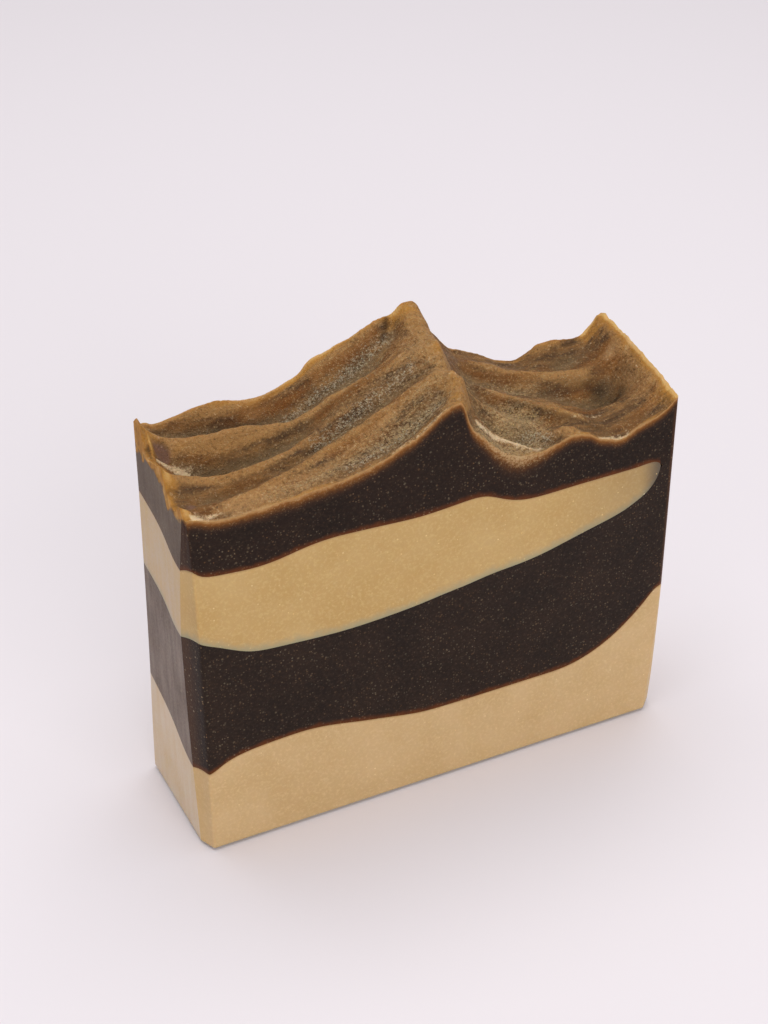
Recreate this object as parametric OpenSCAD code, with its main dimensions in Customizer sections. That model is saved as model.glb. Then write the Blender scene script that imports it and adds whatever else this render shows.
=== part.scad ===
// A slice of a hand poured loaf of soap, standing on its foot.
// Four pours set on top of each other in one mould: a pale base, a dark pour,
// a pale wedge that pinches out near the right wall, and a dark top whose
// surface was drawn up into a peak with lengthwise swirls.
// The front and back are cut faces, the left and right ends touched the mould.
// X runs across the cut face, Y through the slice and Z up from the foot.

/* [Slice] */
// Width of the bar between the two mould walls
bar_w = 89; // [80:1:100]
// Thickness of the slice from cut face to cut face
bar_t = 25.4; // [22:0.2:30]
// Small wear on the edge around the foot
foot_edge = 0.6; // [0.3:0.1:1.2]

/* [Pours] */
// Height of the pale base at the middle of the bar
base_h = 16; // [13:0.5:20]
// Thickness of the lower dark pour at the middle of the bar
lower_dark_h = 24; // [20:0.5:28]
// Thickness of the upper pale wedge where it is thickest
wedge_h = 19; // [14:0.5:20]
// Height of the plain rim above the thickest part of the wedge
top_dark_h = 8; // [7.5:0.5:16]

/* [Swirled top] */
// Strength of the peak and of the wavy cut edges, 1 as poured
wave = 1; // [0.5:0.05:1.1]
// Strength of the ridges, grooves and hollows, 1 as poured
relief = 1; // [0:0.05:1.2]
// Strength of the jagged lip along the left mould wall, 1 as poured
lip = 1; // [0:0.05:1.2]

/* [Planed corners] */
// How far the planed front left corner cuts into the front face
corner_cut = 1.3; // [0.3:0.1:2]
// How far the same corner runs along the left end
corner_run = 5.5; // [2:0.1:7]
// How far the back left corner is planed off at the rim
back_cut = 1.6; // [0.2:0.1:2]
// How far that corner runs along the left end at the rim
back_run = 4.7; // [1:0.1:6]
// Rounding of the right corners at the foot
right_round = 2.3; // [0.5:0.1:3]

/* [Hidden] */

cream = "#cdb083";
dark = "#3a2b27";

half_w = bar_w / 2;
half_t = bar_t / 2;
middle_h = base_h + lower_dark_h;
rim_h = middle_h + wedge_h + top_dark_h;

// Grid. Places across the bar run from -100 at the left wall to 100 at the
// right one, and places through the slice from -100 at the front to 100 at
// the back. The wedge ends on its own line across the bar.
wedge_end = 95;
across = [
    for (a = [-100, -97, -92, -86]) a,
    for (a = [-79:7:-9]) a,
    for (a = [-3, 2, 6, 10, 14, 19, 25, 31, 37]) a,
    for (a = [44:7:79]) a,
    for (a = [85, 89, 92, 94, wedge_end, 97, 100]) a
];
front_row = -57;
back_row = 62;
through = [-100, -78, front_row, -36, -12, 12, 38, back_row, 81, 100];
// Steps of the top surface in each cell of the grid
fine_across = 3;
fine_through = 4;

// Seams on the front and the back face, as heights over base_h or middle_h
base_front = [
    [-100, 1], [-90, 2.9], [-79, 3.7], [-67, 4], [-56, 4.1], [-45, 3.4], [-34, 2.3],
    [-22, 1.3], [-11, 0.3], [0, 0], [45, 0], [56, 0.1], [67, 1.4], [79, 4.2],
    [90, 8.3], [100, 12.2]
];
base_back = [
    [-100, 8], [-88, 6.2], [-70, 5], [-45, 4.2], [-20, 2.6], [5, 1], [30, 0.4],
    [55, 1.4], [75, 4.4], [90, 7.6], [100, 10]
];
middle_front = [
    [-100, 4.2], [-97, 3.5], [-90, 2.2], [-79, -0.2], [-67, -0.8], [-45, -1.4],
    [-34, -1.4], [-22, -1.1], [-11, -0.7], [0, 0], [11, 0.6], [22, 1.4], [34, 1.8],
    [45, 2.6], [56, 3.9], [67, 5.1], [79, 6.5], [85, 7.9], [90, 9.3], [93, 11],
    [94, 12], [95, 13.8], [97, 14], [100, 14.6]
];
middle_back = [
    [-100, 7.5], [-90, 5], [-76, 2.5], [-55, 0.6], [-30, 0], [-5, 0.6], [20, 2],
    [45, 4], [65, 6.6], [80, 9], [88, 11], [93, 12.6], [95, 14.2], [97, 14.6],
    [100, 15.4]
];
// The two lower seams sag a little along the left wall behind the front corner:
// how far in mm, where and how widely through the bar, and how far in from the wall
base_sag = 3;
middle_sag = 2.8;
sag_place = -45;
sag_width = 30;
sag_reach = 5;
// The pale wedge, in percent of its greatest thickness
wedge_front = [
    [-100, 74], [-97, 71], [-92, 73], [-86, 79], [-79, 85], [-67, 89], [-56, 96],
    [-45, 100], [-34, 99], [-22, 96], [-11, 92.5], [0, 90], [11, 89], [18, 86],
    [22, 80], [27, 73], [34, 67], [45, 62], [67, 50], [79, 43], [85, 36], [90, 30],
    [93, 20], [94, 13], [95, 0]
];
wedge_back = [
    [-100, 78], [-90, 78], [-70, 88], [-45, 97], [-20, 100], [5, 92], [30, 78],
    [55, 62], [75, 44], [88, 28], [93, 14], [95, 0]
];
// Heights of the cut edges of the top over the rim
top_front = [
    [-100, 0.8], [-97, 0.3], [-93, -0.3], [-85, -0.6], [-79, -0.5], [-67, -0.3],
    [-56, 0], [-45, 0.6], [-34, 1.3], [-27, 1.9], [-22, 2.8], [-11, 5.1], [0, 8.3],
    [4, 9.3], [7, 9.4], [8, 8.9], [9, 6.9], [11, 4.4], [16, 2], [22, -1.2],
    [29, -3.1], [36, -3.9], [45, -3.7], [50, -3], [56, -2.2], [61, -2.8],
    [67, -4.9], [73, -5.9], [79, -5], [85, -3.9], [90, -3.1], [94, -2.2], [100, -0.4]
];
top_back = [
    [-100, 4.3], [-94, 4], [-90, 3.3], [-83, 3.8], [-74, 4.5], [-67, 4.7], [-61, 4.3],
    [-52, 3.6], [-45, 3.6], [-38, 4.8], [-31, 6.3], [-28, 8], [-22, 8.8], [-16, 10],
    [-11, 10.5], [0, 12.7], [7, 13.3], [11, 14.6], [15, 14.7], [18, 13.8], [20, 11],
    [22, 9], [27, 6.2], [31, 4], [36, 3], [45, 1], [52, -0.7], [61, -1.7],
    [65, -0.8], [70, 0.3], [74, 0.5], [81, 0.1], [85, -0.2], [90, -0.1], [94, 1.5],
    [98, 3.4], [100, 3.8]
];
// Where the crest of the peak crosses the cut faces
peak_front = 7;
peak_back = 14;
// How far the crest's slant reaches to either side of it
peak_reach = 22;

// Heights over the rim of the lip on the left wall, from front to back
lip_line = [
    [-100, 0.8], [-88, 3], [-74, 0.6], [-61, 0.4], [-47, 1], [-36, 3.4], [-29, 6],
    [-18, 4.8], [-4, 4.4], [13, 3.6], [26, 3], [34, 6.4], [43, 9.4], [55, 8.6],
    [67, 7], [83, 5], [100, 4.3]
];
lip_reach = 2.2;
// Low swell of the top along the right wall
right_swell = 0.7;

// Swirls. Each has a half width in mm, the line that it follows as
// [across, through], and its height or depth in mm as [across, height].
swirls = [
    // Crest that runs from the tall left spike to the second knob
    [1.8,
        [[-99, 59], [-90, 50], [-83, 41], [-76, 33], [-67, 29], [-54, 29], [-36, 25],
         [-18, 22], [0, 14], [12, 9]],
        [[-99, 0], [-90, 1.4], [-76, 2], [-60, 2], [-40, 1.4], [-18, 1], [5, 0.8],
         [20, 0]]],
    // Hollow in front of the back edge, deepest at the left
    [2.6,
        [[-88, 80], [-74, 68], [-63, 64], [-49, 64], [-40, 56], [-18, 54], [-9, 58],
         [0, 68], [8, 84]],
        [[-96, 0], [-88, -2], [-74, -4], [-60, -3.8], [-50, -2.8], [-36, -2.2],
         [-18, -2.8], [-5, -3], [4, -2], [10, 0]]],
    // Crest from the second left spike
    [1.6,
        [[-99, -28], [-90, -26], [-83, -33], [-76, -38], [-67, -36], [-58, -31],
         [-48, -21], [-38, -9], [-29, -2], [-11, 0], [5, -2]],
        [[-99, 0], [-92, 1], [-76, 1.4], [-58, 1.4], [-38, 0.8], [-15, 0.6], [10, 0]]],
    // Bowl between those two crests, running out in a crease up to the peak
    [2.5,
        [[-94, 18], [-88, 12], [-80, 1], [-71, -5], [-62, -4], [-52, 4], [-44, 8]],
        [[-98, 0], [-93, -2.4], [-80, -4.4], [-68, -4], [-56, -2.4], [-44, -0.8],
         [-34, 0]]],
    [1.2,
        [[-56, 2], [-44, 8], [-36, 12], [-20, 13], [0, 5]],
        [[-60, 0], [-44, -1.1], [-20, -1], [-5, -0.7], [6, 0]]],
    // Narrow groove behind the front swell
    [1.3,
        [[-92, -53], [-83, -58], [-76, -58], [-65, -50], [-58, -43], [-47, -32],
         [-31, -24], [-11, -21], [3, -19]],
        [[-97, 0], [-90, -1.2], [-76, -1.6], [-58, -1.6], [-11, -1.5], [4, -0.9], [9, 0]]],
    // Front swell that ends in the third knob
    [1.9,
        [[-85, -83], [-74, -77], [-56, -64], [-43, -50], [-34, -43], [-22, -38],
         [-7, -36], [0, -39], [12, -47]],
        [[-95, 0], [-80, 0.9], [-56, 1.1], [-34, 1.2], [8, 1], [18, 0]]],
    // Groove along the front lip below the peak
    [1.4,
        [[-27, -89], [-20, -83], [-13, -79], [-4, -75], [5, -69]],
        [[-32, 0], [-22, -1.3], [-8, -2], [3, -1.4], [8, 0]]],
    // Broad crest that curves from the peak to the right wall
    [1.8,
        [[18, 31], [27, 54], [35, 67], [45, 63], [56, 56], [63, 45], [70, 34], [81, 32],
         [92, 40]],
        [[14, 0], [25, 0.8], [45, 1.2], [63, 1.2], [81, 0.8], [94, 0]]],
    // Groove in front of it, widening into the hollow by the right wall
    [2,
        [[16, 14], [27, 34], [35, 48], [43, 42], [49, 34], [55, 24], [62, 12], [68, -2],
         [74, -10], [80, -12], [88, -6]],
        [[18, 0], [30, -1.2], [50, -1.6], [62, -1.8], [74, -2.6], [84, -2.4], [92, 0]]],
    // Crease and groove down the middle of the right side
    [1.3,
        [[18, 20], [30, 28], [38, 12], [43, 0], [49, -16], [54, -36], [61, -56],
         [70, -68], [76, -80]],
        [[18, 0], [30, 0.8], [60, 1], [76, 0.5], [84, 0]]],
    [1.4,
        [[22, 12], [29, 12], [36, -4], [41, -18], [49, -40], [56, -64], [62, -82]],
        [[20, 0], [30, -1.1], [50, -1.3], [58, -0.9], [66, 0]]],
    // Crest over the scooped front valley, then the scoop and its pale rim
    [1.5,
        [[16, -22], [31, -22], [36, -38], [44, -54], [49, -73], [58, -92]],
        [[14, 0], [22, 1], [44, 1], [56, 0.5], [62, 0]]],
    [2.3,
        [[18, -44], [32, -50], [37, -60], [44, -76]],
        [[13, 0], [22, -2.4], [36, -3], [44, -1.6], [54, 0]]],
    [1.2,
        [[14, -66], [22, -73], [29, -80], [35, -87], [42, -93]],
        [[11, 0], [20, 1], [34, 1], [46, 0]]]
];
// Knobs on the crest of the peak, dips between them and single hollows, as
// [across, through, height, half width across, half width through]
dabs = [
    [13, 7, 0.9, 1.3, 1.5],
    [10.3, -60, 1.5, 1.9, 1.2],
    [13.7, -61, 3.5, 0.9, 1.3],
    [11.8, -76, 2.2, 0.9, 1.3],
    [10.4, -90, 3.2, 0.8, 1.1],
    [10.5, -30, -1.2, 1.8, 2.1],
    [13, 50, -1.2, 2.2, 2.8],
    [86, 0, -3.4, 3.8, 3.8],
    [77, 68, -2.6, 4.6, 3],
    [-93, 34, -1.8, 1.2, 1.2],
    [-92, 18, 0.7, 1.9, 0.7],
    [-91, -89, -1.3, 2.6, 1.1]
];
// How far in from a cut face the swirls reach their full height
cut_edge_fade = 1.6;
// Step along a swirl over which its direction is taken
lean_step = 3;

// Planed corners. The lists give the share of the cut at a height, both in
// percent, with 100 at the rim.
front_run_share = [
    [0, 53], [15, 70], [30, 84], [45, 95], [60, 100], [75, 93], [82, 70], [90, 48],
    [100, 13], [115, 8]
];
front_cut_share = [[0, 100], [75, 100], [100, 35]];
back_share = [[0, 4], [15, 14], [22, 30], [45, 60], [75, 84], [100, 100]];
right_share = [[0, 100], [15, 52], [45, 26], [100, 13]];
// How far in from a mould wall its planed corners pull the grid
wall_blend = 6;

// Blending helpers
function mix(a, b, share) = a + (b - a) * share;
function bell(s) = exp(-s * s);
function fade(distance, reach) = exp(-distance / reach);
function clamp01(s) = min(1, max(0, s));

// Smooth curve through the points of a profile at the place a
function slope(p, i) = (i == 0 || i == len(p) - 1)
    ? 0
    : (p[i + 1][1] - p[i - 1][1]) / (p[i + 1][0] - p[i - 1][0]);
function span(p, a) = max([0, for (i = [0:len(p) - 2]) if (a >= p[i][0]) i]);
function curve(p, a) =
    let (
        i = span(p, a),
        w = p[i + 1][0] - p[i][0],
        s = clamp01((a - p[i][0]) / w),
        s2 = s * s,
        s3 = s2 * s
    )
    (2 * s3 - 3 * s2 + 1) * p[i][1] + (3 * s2 - 2 * s3) * p[i + 1][1]
    + (s3 - 2 * s2 + s) * w * slope(p, i) + (s3 - s2) * w * slope(p, i + 1);

// Seam heights at a place across and through the bar
function back_share_at(t) = (t + 100) / 200;
function seam(front, back, a, t) = mix(curve(front, a), curve(back, a), back_share_at(t));
function wall_sag(a, t) =
    bell((t - sag_place) / sag_width) * fade((a + 100) * half_w / 100, sag_reach);
function base_top(a, t) = base_h + seam(base_front, base_back, a, t) - base_sag * wall_sag(a, t);
function dark_top(a, t) =
    middle_h + seam(middle_front, middle_back, a, t) - middle_sag * wall_sag(a, t);
function wedge_top(a, t) =
    a >= wedge_end
    ? dark_top(a, t)
    : dark_top(a, t) + seam(wedge_front, wedge_back, a, t) / 100 * wedge_h;

// Height of the swirled top at a place across and through the bar
function crest_shift(t) = let (s = 1 - back_share_at(t)) (peak_back - peak_front) * (1 - s * s);
function top_wave(a, t) =
    let (
        near = bell((a - peak_back) / peak_reach),
        shift = crest_shift(t),
        rest = peak_back - peak_front - shift
    )
    mix(curve(top_front, a - shift * near), curve(top_back, a + rest * near), back_share_at(t));
// The distance to a line is taken square to it, so that steep lines keep their width
function lean(line, a) =
    (lookup(a + lean_step, line) - lookup(a - lean_step, line)) * half_t / (2 * lean_step * half_w);
function swirl_height(s, a, t) =
    let (
        off = (t - lookup(a, s[1])) / 100 * half_t,
        k = lean(s[1], a)
    )
    lookup(a, s[2]) * bell(off / sqrt(1 + k * k) / s[0]);
function dab_height(d, a, t) =
    d[2] * bell((a - d[0]) / 100 * half_w / d[3]) * bell((t - d[1]) / 100 * half_t / d[4]);
function sum(list) = list * [for (i = list) 1];
function all_swirls(a, t) =
    sum([for (s = swirls) swirl_height(s, a, t)]) + sum([for (d = dabs) dab_height(d, a, t)]);
function eased(s) = s * s * (3 - 2 * s);
function inside_share(t) = eased(clamp01((100 - abs(t)) / 100 * half_t / cut_edge_fade));
function top_height(a, t) =
    let (
        from_left = (a + 100) / 100 * half_w,
        from_right = (100 - a) / 100 * half_w,
        swell = right_swell * (1 - t * t / 10000) * fade(from_right, lip_reach),
        plain = top_wave(a, t) * wave + swell + all_swirls(a, t) * relief * inside_share(t),
        held = mix(plain, curve(lip_line, t), fade(from_left, lip_reach) * lip)
    )
    rim_h + held;

// Plan position of a grid place at a height, with the corners planed off.
// The rows front_row and back_row follow the edges of the planed corners.
function percent_up(z) = z / rim_h * 100;
function front_run(z) = corner_run * lookup(percent_up(z), front_run_share) / 100;
function front_cut(z) = corner_cut * lookup(percent_up(z), front_cut_share) / 100;
function left_back(z) = lookup(percent_up(z), back_share) / 100;
function right_cut(z) = right_round * lookup(percent_up(z), right_share) / 100;
function row_y(t, front, back) =
    t <= front_row ? -half_t + front * (t + 100) / (front_row + 100)
    : t >= back_row ? half_t - back * (100 - t) / (100 - back_row)
    : mix(-half_t + front, half_t - back, (t - front_row) / (back_row - front_row));
function corner_inset(t, front, back) =
    t < front_row ? front * (front_row - t) / (front_row + 100)
    : t > back_row ? back * (t - back_row) / (100 - back_row)
    : 0;
function spot(a, t, z) =
    let (
        x = a / 100 * half_w,
        y = t / 100 * half_t,
        left = fade(x + half_w, wall_blend),
        right = fade(half_w - x, wall_blend),
        left_y = row_y(t, front_run(z), back_run * left_back(z)),
        right_y = row_y(t, right_cut(z), right_cut(z)),
        left_in = corner_inset(t, front_cut(z), back_cut * left_back(z)),
        right_in = corner_inset(t, right_cut(z), right_cut(z))
    )
    [x + left_in * left - right_in * right, y + (left_y - y) * left + (right_y - y) * right];

// Points of the seams and of the top
function at_height(a, t, z) = let (p = spot(a, t, z)) [p[0], p[1], z];
function base_top_point(a, t) = at_height(a, t, base_top(a, t));
function dark_top_point(a, t) = at_height(a, t, dark_top(a, t));
function wedge_top_point(a, t) = at_height(a, t, wedge_top(a, t));
function top_point(a, t) =
    let (p = spot(a, t, rim_h))
    [p[0], p[1], top_height(p[0] / half_w * 100, p[1] / half_t * 100)];

// A list of places with each gap split into equal steps
function split(list, steps) = [
    for (i = [0:len(list) - 2], k = [0:steps - 1]) mix(list[i], list[i + 1], k / steps),
    list[len(list) - 1]
];
// Places of a grid row by row, and the numbers of its outline going round
function grid(us, vs) = [for (v = vs, u = us) [u, v]];
function outline(nu, nv) = [
    for (i = [0:nu - 2]) i,
    for (j = [0:nv - 2]) j * nu + nu - 1,
    for (i = [nu - 1:-1:1]) (nv - 1) * nu + i,
    for (j = [nv - 1:-1:1]) j * nu
];
// Two triangles for each cell of a grid, seen from above
function sheet_up(nu, nv, first) = [
    for (j = [0:nv - 2], i = [0:nu - 2])
        let (a = first + j * nu + i, b = a + nu)
        each [[a, b, b + 1], [a, b + 1, a + 1]]
];
function flipped(faces) = [for (f = faces) [f[2], f[1], f[0]]];
// Wall between two rings with the same number of points
function band(low, high) = [
    for (k = [0:len(low) - 1])
        let (n = (k + 1) % len(low))
        each [[low[k], high[k], high[n]], [low[k], high[n], low[n]]]
];
function shifted(list, first) = [for (i = list) first + i];

// Base pour: flat foot, a worn edge, one ring to follow the corners, its top
module base_cream_pour() {
    places = grid(across, through);
    ring = outline(len(across), len(through));
    count = len(ring);
    mid_z = base_h / 2;
    tuck = [1 - foot_edge / half_w, 1 - foot_edge / half_t];
    foot = [
        for (i = ring)
            let (p = spot(places[i][0], places[i][1], 0))
            [p[0] * tuck[0], p[1] * tuck[1], 0]
    ];
    worn = [for (i = ring) at_height(places[i][0], places[i][1], foot_edge)];
    middle = [for (i = ring) at_height(places[i][0], places[i][1], mid_z)];
    top = [for (p = places) base_top_point(p[0], p[1])];
    rings = [for (r = [0:2]) [for (k = [0:count - 1]) r * count + k]];
    top_first = 3 * count;
    foot_middle = top_first + len(places);
    color(cream)
        polyhedron(
            points = concat(foot, worn, middle, top, [[0, 0, 0]]),
            faces = concat(
                [for (k = [0:count - 1]) [foot_middle, k, (k + 1) % count]],
                band(rings[0], rings[1]),
                band(rings[1], rings[2]),
                band(rings[2], shifted(ring, top_first)),
                sheet_up(len(across), len(through), top_first)
            )
        );
}

// Lower dark pour between the base seam and the wedge seam
module lower_dark_pour() {
    places = grid(across, through);
    ring = outline(len(across), len(through));
    count = len(places);
    bottom = [for (p = places) base_top_point(p[0], p[1])];
    middle = [
        for (i = ring)
            let (a = places[i][0], t = places[i][1])
            at_height(a, t, (base_top(a, t) + dark_top(a, t)) / 2)
    ];
    top = [for (p = places) dark_top_point(p[0], p[1])];
    middle_ring = [for (k = [0:len(ring) - 1]) count + k];
    top_first = count + len(ring);
    color(dark)
        polyhedron(
            points = concat(bottom, middle, top),
            faces = concat(
                flipped(sheet_up(len(across), len(through), 0)),
                band(ring, middle_ring),
                band(middle_ring, shifted(ring, top_first)),
                sheet_up(len(across), len(through), top_first)
            )
        );
}

// Pale wedge: its top and bottom share their points on the line where it ends
module upper_cream_pour() {
    us = [for (a = across) if (a <= wedge_end) a];
    nu = len(us);
    nv = len(through);
    places = grid(us, through);
    count = len(places);
    bottom = [for (p = places) dark_top_point(p[0], p[1])];
    top = [for (p = places) if (p[0] < wedge_end) wedge_top_point(p[0], p[1])];
    // Number of a grid place on the top sheet
    function high(i, j) = i == nu - 1 ? j * nu + i : count + j * (nu - 1) + i;
    function low(i, j) = j * nu + i;
    // A strip of wall from place to place, without the face that has no height
    function strip(i, j, i2, j2) = i2 == nu - 1
        ? [[low(i, j), high(i, j), low(i2, j2)]]
        : i == nu - 1
        ? [[low(i, j), high(i2, j2), low(i2, j2)]]
        : [[low(i, j), high(i, j), high(i2, j2)], [low(i, j), high(i2, j2), low(i2, j2)]];
    color(cream)
        polyhedron(
            points = concat(bottom, top),
            faces = concat(
                flipped(sheet_up(nu, nv, 0)),
                [for (j = [0:nv - 2], i = [0:nu - 2])
                    each [
                        [high(i, j), high(i, j + 1), high(i + 1, j + 1)],
                        [high(i, j), high(i + 1, j + 1), high(i + 1, j)]
                    ]],
                [for (i = [0:nu - 2]) each strip(i, 0, i + 1, 0)],
                [for (i = [nu - 1:-1:1]) each strip(i, nv - 1, i - 1, nv - 1)],
                [for (j = [nv - 1:-1:1]) each strip(0, j, 0, j - 1)]
            )
        );
}

// Top dark pour: coarse seam below, finer swirled surface above
module top_dark_pour() {
    nu = len(across);
    nv = len(through);
    fine_us = split(across, fine_across);
    fine_vs = split(through, fine_through);
    fu = len(fine_us);
    fv = len(fine_vs);
    count = nu * nv;
    bottom = [for (p = grid(across, through)) wedge_top_point(p[0], p[1])];
    top = [for (p = grid(fine_us, fine_vs)) top_point(p[0], p[1])];
    low = outline(nu, nv);
    high = shifted(outline(fu, fv), count);
    // Steps of the fine outline over each side of the coarse one
    steps = [
        for (i = [1:nu - 1]) fine_across,
        for (j = [1:nv - 1]) fine_through,
        for (i = [1:nu - 1]) fine_across,
        for (j = [1:nv - 1]) fine_through
    ];
    starts = [for (k = 0, at = 0; k < len(low); at = at + steps[k], k = k + 1) at];
    function fine(k) = high[k % len(high)];
    walls = [
        for (k = [0:len(low) - 1])
            let (a = low[k], b = low[(k + 1) % len(low)], s = starts[k], half = floor(steps[k] / 2))
            each concat(
                [for (m = [0:half - 1]) [a, fine(s + m), fine(s + m + 1)]],
                [[a, fine(s + half), b]],
                [for (m = [half:steps[k] - 1]) [b, fine(s + m), fine(s + m + 1)]]
            )
    ];
    color(dark)
        polyhedron(
            points = concat(bottom, top),
            faces = concat(
                flipped(sheet_up(nu, nv, 0)),
                walls,
                sheet_up(fu, fv, count)
            )
        );
}

base_cream_pour();
lower_dark_pour();
upper_cream_pour();
top_dark_pour();
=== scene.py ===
"""Looks of a slice of hand-poured loaf soap: four pours, two cut faces, two mould walls and a swirled crust.

Lengths are in millimetres where the name ends in mm and on the plan of the crust, else in metres.
"""

import logging
import math
from dataclasses import dataclass, field, replace
from enum import Enum

import bmesh
import bpy
import numpy as np
from mathutils import Matrix, Vector, noise
from mathutils.bvhtree import BVHTree


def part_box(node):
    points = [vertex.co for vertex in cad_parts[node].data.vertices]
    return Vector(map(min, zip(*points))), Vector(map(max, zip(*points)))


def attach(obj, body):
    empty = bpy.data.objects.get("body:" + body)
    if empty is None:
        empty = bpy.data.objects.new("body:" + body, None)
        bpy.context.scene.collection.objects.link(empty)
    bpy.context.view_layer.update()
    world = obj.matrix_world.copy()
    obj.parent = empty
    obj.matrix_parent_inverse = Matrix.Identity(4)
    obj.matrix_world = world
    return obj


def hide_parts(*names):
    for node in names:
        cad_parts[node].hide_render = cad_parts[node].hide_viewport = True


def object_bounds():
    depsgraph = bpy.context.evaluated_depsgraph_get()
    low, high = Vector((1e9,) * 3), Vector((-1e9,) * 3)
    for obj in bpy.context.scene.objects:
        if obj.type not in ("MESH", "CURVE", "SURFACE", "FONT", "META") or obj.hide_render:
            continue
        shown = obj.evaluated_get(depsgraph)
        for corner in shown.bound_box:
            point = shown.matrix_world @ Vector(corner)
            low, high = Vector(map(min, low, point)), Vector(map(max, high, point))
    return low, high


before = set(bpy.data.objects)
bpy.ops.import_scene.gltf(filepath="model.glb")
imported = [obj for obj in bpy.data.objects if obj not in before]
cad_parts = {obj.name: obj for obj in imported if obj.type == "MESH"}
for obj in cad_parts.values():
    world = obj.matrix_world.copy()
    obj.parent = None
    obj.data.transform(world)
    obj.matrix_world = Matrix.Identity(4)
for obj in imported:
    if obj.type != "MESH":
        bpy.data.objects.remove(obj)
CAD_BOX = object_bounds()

Tree = bpy.types.NodeTree
Socket = bpy.types.NodeSocket
Outputs = bpy.types.bpy_prop_collection

log = logging.getLogger("soap")

MM = 0.001
BODY = "root"
MODES = {
    "Math": "operation", "VectorMath": "operation", "Mix": "data_type",
    "MapRange": "interpolation_type", "Mapping": "vector_type",
}
DOWN = Vector((0, 0, -1))
RAY_START = 1.0


class Surface(Enum):
    """How a face of the bar came to be, as it is stored on the faces."""

    CUT = 0
    MOULD = 1
    CRUST = 2
    FOOT = 3
    SEAM = 4


def linear(hex_colour: str) -> tuple[float, float, float, float]:
    """Turns an sRGB hex colour into a linear one.

    Args:
        hex_colour: Six hex digits after a hash sign.

    Returns:
        Red, green, blue and an alpha of 1.
    """
    parts = [int(hex_colour[i:i + 2], 16) / 255 for i in (1, 3, 5)]
    red, green, blue = (p / 12.92 if p <= 0.04045 else ((p + 0.055) / 1.055) ** 2.4 for p in parts)
    return red, green, blue, 1.0


def per_mm(size_mm: float) -> float:
    """Gives the pattern scale, in cycles a metre, for a pattern of that size in millimetres."""
    return 1 / (size_mm * MM)


def add(tree: Tree, kind: str, inputs: dict[int | str, object] | None = None, **settings: object) -> Outputs:
    """Adds a shader node, sets it up and links it.

    Args:
        tree: The material's node tree.
        kind: The node's type without the ShaderNode before it, and after a dot its mode where it has one.
        inputs: Socket name or number to a value, or to the output socket that feeds it.
        settings: Properties of the node.

    Returns:
        The new node's outputs.
    """
    kind, _, mode = kind.partition(".")
    node = tree.nodes.new("ShaderNode" + kind)
    if mode:
        setattr(node, MODES[kind], mode)
    for name, value in settings.items():
        setattr(node, name, value)
    for socket, value in (inputs or {}).items():
        if isinstance(value, Socket):
            tree.links.new(value, node.inputs[socket])
        else:
            node.inputs[socket].default_value = value
    return node.outputs


def cleared(owner: bpy.types.Material | bpy.types.World) -> Tree:
    """Empties the node tree of a new material or world.

    Args:
        owner: The material or world.

    Returns:
        Its empty node tree.
    """
    owner.use_nodes = True
    owner.node_tree.nodes.clear()
    return owner.node_tree


def put(name: str, data: bpy.types.ID) -> bpy.types.Object:
    """Puts a new object in the scene.

    Args:
        name: The object's name.
        data: Its mesh, lamp or camera.

    Returns:
        The object.
    """
    thing = bpy.data.objects.new(name, data)
    bpy.context.scene.collection.objects.link(thing)
    return thing


def smooth_step(share: np.ndarray) -> np.ndarray:
    """Eases a share from 0 to 1, flat at both ends."""
    held = np.clip(share, 0, 1)
    return held * held * (3 - 2 * held)


@dataclass
class HeightMap:
    """Heights of the swirled top on a square grid, in millimetres, to read ridges and hollows from."""

    tree: BVHTree
    half_width: float
    half_depth: float
    step: float = 0.4
    inset: float = 0.05
    drop: float = 200.0
    columns: int = field(init=False)
    rows: int = field(init=False)
    heights: np.ndarray = field(init=False)

    def __post_init__(self) -> None:
        """Casts a ray down on each point of the grid."""
        self.columns = int(2 * self.half_width / self.step) + 1
        self.rows = int(2 * self.half_depth / self.step) + 1
        self.heights = np.zeros((self.rows, self.columns))
        far_x, far_y = self.half_width - self.inset, self.half_depth - self.inset
        for j in range(self.rows):
            for i in range(self.columns):
                x = np.clip(i * self.step - self.half_width, -far_x, far_x)
                y = np.clip(j * self.step - self.half_depth, -far_y, far_y)
                hit = self.tree.ray_cast(Vector((x, y, self.drop)) * MM, DOWN)[0]
                self.heights[j, i] = hit.z / MM if hit else np.nan
        self.heights = np.where(np.isnan(self.heights), np.nanmedian(self.heights), self.heights)

    def blurred(self, reach: float) -> np.ndarray:
        """Smooths the heights with a bell of that reach.

        Args:
            reach: Standard deviation of the bell in millimetres.

        Returns:
            The smoothed heights.
        """
        count = int(3 * reach / self.step)
        places = np.arange(-count, count + 1) * self.step
        bell = np.exp(-(places / reach) ** 2 / 2)
        bell /= bell.sum()
        blurred = np.pad(self.heights, count, mode="edge")
        for axis in (1, 0):
            blurred = np.apply_along_axis(lambda row: np.convolve(row, bell, "valid"), axis, blurred)
        return blurred

    def read(self, values: np.ndarray, places: np.ndarray) -> np.ndarray:
        """Reads a map of the grid's size at places on the plan.

        Args:
            values: One value for each point of the grid.
            places: Plan places in millimetres, one row each.

        Returns:
            The values between the grid's points.
        """
        i = np.clip((places[:, 0] + self.half_width) / self.step, 0, self.columns - 1.001)
        j = np.clip((places[:, 1] + self.half_depth) / self.step, 0, self.rows - 1.001)
        left, low = i.astype(int), j.astype(int)
        right_share, high_share = i - left, j - low
        near = values[low, left] * (1 - right_share) + values[low, left + 1] * right_share
        far = values[low + 1, left] * (1 - right_share) + values[low + 1, left + 1] * right_share
        return near * (1 - high_share) + far * high_share


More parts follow.
